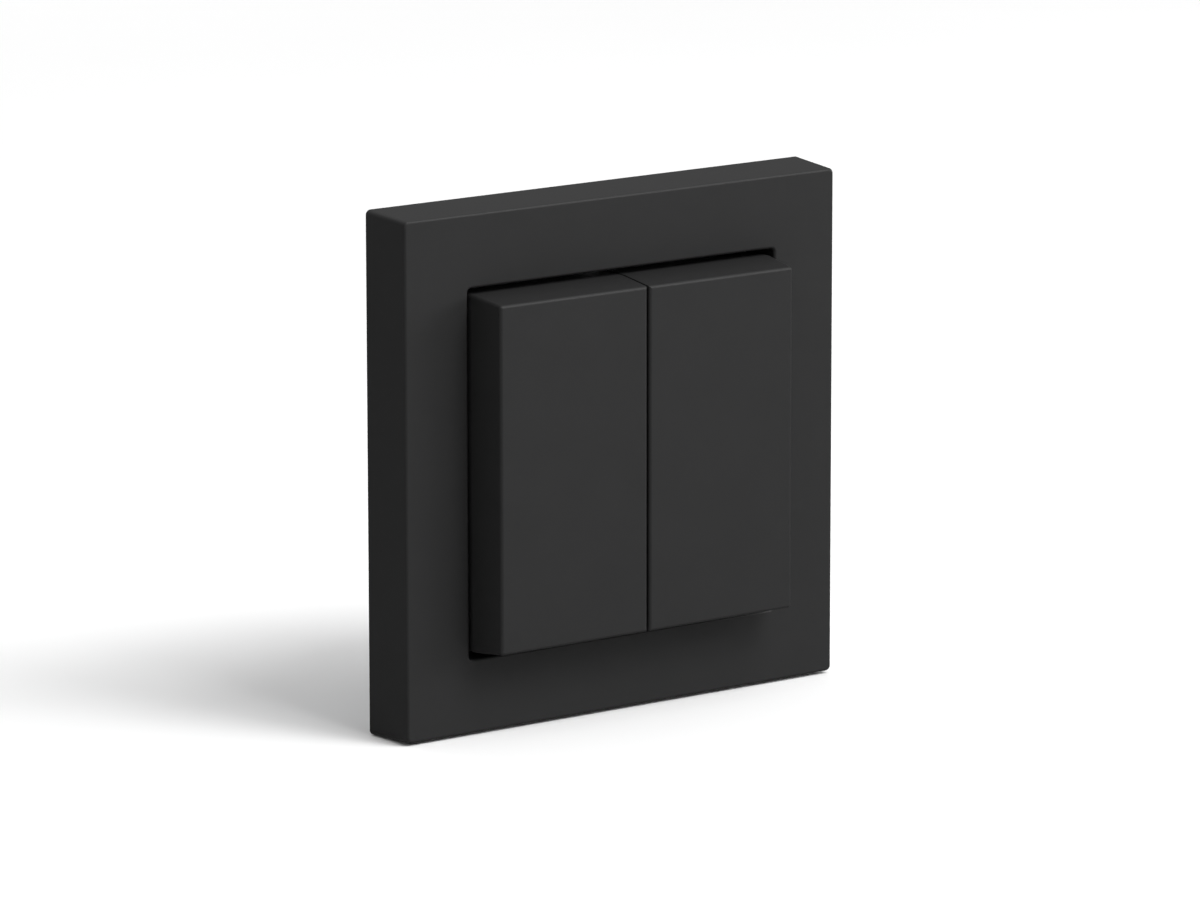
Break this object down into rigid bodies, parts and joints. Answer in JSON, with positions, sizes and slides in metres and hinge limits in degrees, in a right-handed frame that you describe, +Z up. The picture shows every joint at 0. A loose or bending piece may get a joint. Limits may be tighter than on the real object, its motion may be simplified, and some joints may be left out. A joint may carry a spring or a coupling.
{
  "type": "rocker wall switch",
  "caption": "Flush rocker wall switch: matt anthracite square frame around flat spring-centred rockers, on a screw-fixed plate with a contact insert behind the wall.",
  "frame": {"origin": "centre of the support plate's back face, in the plane of the finished wall", "axes": "+Z up on the wall, +Y into the wall box, +X to the right when facing the switch; the room is on the -Y side"},
  "size_m": [0.08, 0.038, 0.08],
  "materials": {
    "frame_plastic": "fine matt anthracite moulding",
    "rocker_plastic": "fine matt anthracite moulding",
    "housing_plastic": "grey glass-filled moulding",
    "cover_plastic": "light grey moulding",
    "cradle_plastic": "natural acetal moulding",
    "zinc_steel": "bright zinc-plated sheet steel",
    "spring_steel": "spring steel",
    "screw_steel": "zinc-plated steel",
    "shaft_steel": "ground steel",
    "brass": "bright brass",
    "copper_alloy": "rolled copper alloy strip",
    "silver": "silver alloy contact rivet"
  },
  "bodies": {
    "switch_base": {"mounting_plate": "zinc_steel", "cover_frame": "frame_plastic", "frame_clips": "spring_steel", "insert_cover": "cover_plastic", "insert_base": "housing_plastic", "terminal_lid": "housing_plastic", "insert_screws": "screw_steel", "lid_screws": "screw_steel", "pivot_shaft": "shaft_steel", "terminal_clamps": "brass", "terminal_screws": "screw_steel", "common_strip_left": "copper_alloy", "common_strip_right": "copper_alloy", "output_strip_left_upper": "copper_alloy", "fixed_tips_left_upper": "silver", "return_spring_left_upper": "spring_steel", "output_strip_left_lower": "copper_alloy", "fixed_tips_left_lower": "silver", "return_spring_left_lower": "spring_steel", "output_strip_right_upper": "copper_alloy", "fixed_tips_right_upper": "silver", "return_spring_right_upper": "spring_steel", "output_strip_right_lower": "copper_alloy", "fixed_tips_right_lower": "silver", "return_spring_right_lower": "spring_steel"},
    "rocker_left": {"rocker_cap_left": "rocker_plastic", "rocker_cradle_left": "cradle_plastic"},
    "rocker_right": {"rocker_cap_right": "rocker_plastic", "rocker_cradle_right": "cradle_plastic"},
    "plunger_left_upper": {"plunger_left_upper": "cradle_plastic", "contact_bridge_left_upper": "copper_alloy", "bridge_tips_left_upper": "silver"},
    "plunger_left_lower": {"plunger_left_lower": "cradle_plastic", "contact_bridge_left_lower": "copper_alloy", "bridge_tips_left_lower": "silver"},
    "plunger_right_upper": {"plunger_right_upper": "cradle_plastic", "contact_bridge_right_upper": "copper_alloy", "bridge_tips_right_upper": "silver"},
    "plunger_right_lower": {"plunger_right_lower": "cradle_plastic", "contact_bridge_right_lower": "copper_alloy", "bridge_tips_right_lower": "silver"}
  },
  "joints": [
    {"name": "rocker_left_tilt", "type": "hinge", "parent": "switch_base", "child": "rocker_left", "pos_m": [-0.0135, -0.0095, 0], "axis": [1, 0, 0], "range_deg": [-4, 4], "stiffness_Nm_per_rad": 0.8},
    {"name": "rocker_right_tilt", "type": "hinge", "parent": "switch_base", "child": "rocker_right", "pos_m": [0.0135, -0.0095, 0], "axis": [1, 0, 0], "range_deg": [-4, 4], "stiffness_Nm_per_rad": 0.8},
    {"name": "plunger_left_upper_slide", "type": "slide", "parent": "switch_base", "child": "plunger_left_upper", "axis": [0, 1, 0], "range_m": [-0.00085, 0.00085], "deforming": ["return_spring_left_upper"]},
    {"name": "plunger_left_lower_slide", "type": "slide", "parent": "switch_base", "child": "plunger_left_lower", "axis": [0, 1, 0], "range_m": [-0.00085, 0.00085], "deforming": ["return_spring_left_lower"]},
    {"name": "plunger_right_upper_slide", "type": "slide", "parent": "switch_base", "child": "plunger_right_upper", "axis": [0, 1, 0], "range_m": [-0.00085, 0.00085], "deforming": ["return_spring_right_upper"]},
    {"name": "plunger_right_lower_slide", "type": "slide", "parent": "switch_base", "child": "plunger_right_lower", "axis": [0, 1, 0], "range_m": [-0.00085, 0.00085], "deforming": ["return_spring_right_lower"]}
  ],
  "couplings": [
    {"joint": "plunger_left_upper_slide", "follows": "rocker_left_tilt", "m_per_rad": -0.0115},
    {"joint": "plunger_left_lower_slide", "follows": "rocker_left_tilt", "m_per_rad": 0.0115},
    {"joint": "plunger_right_upper_slide", "follows": "rocker_right_tilt", "m_per_rad": -0.0115},
    {"joint": "plunger_right_lower_slide", "follows": "rocker_right_tilt", "m_per_rad": 0.0115}
  ]
}
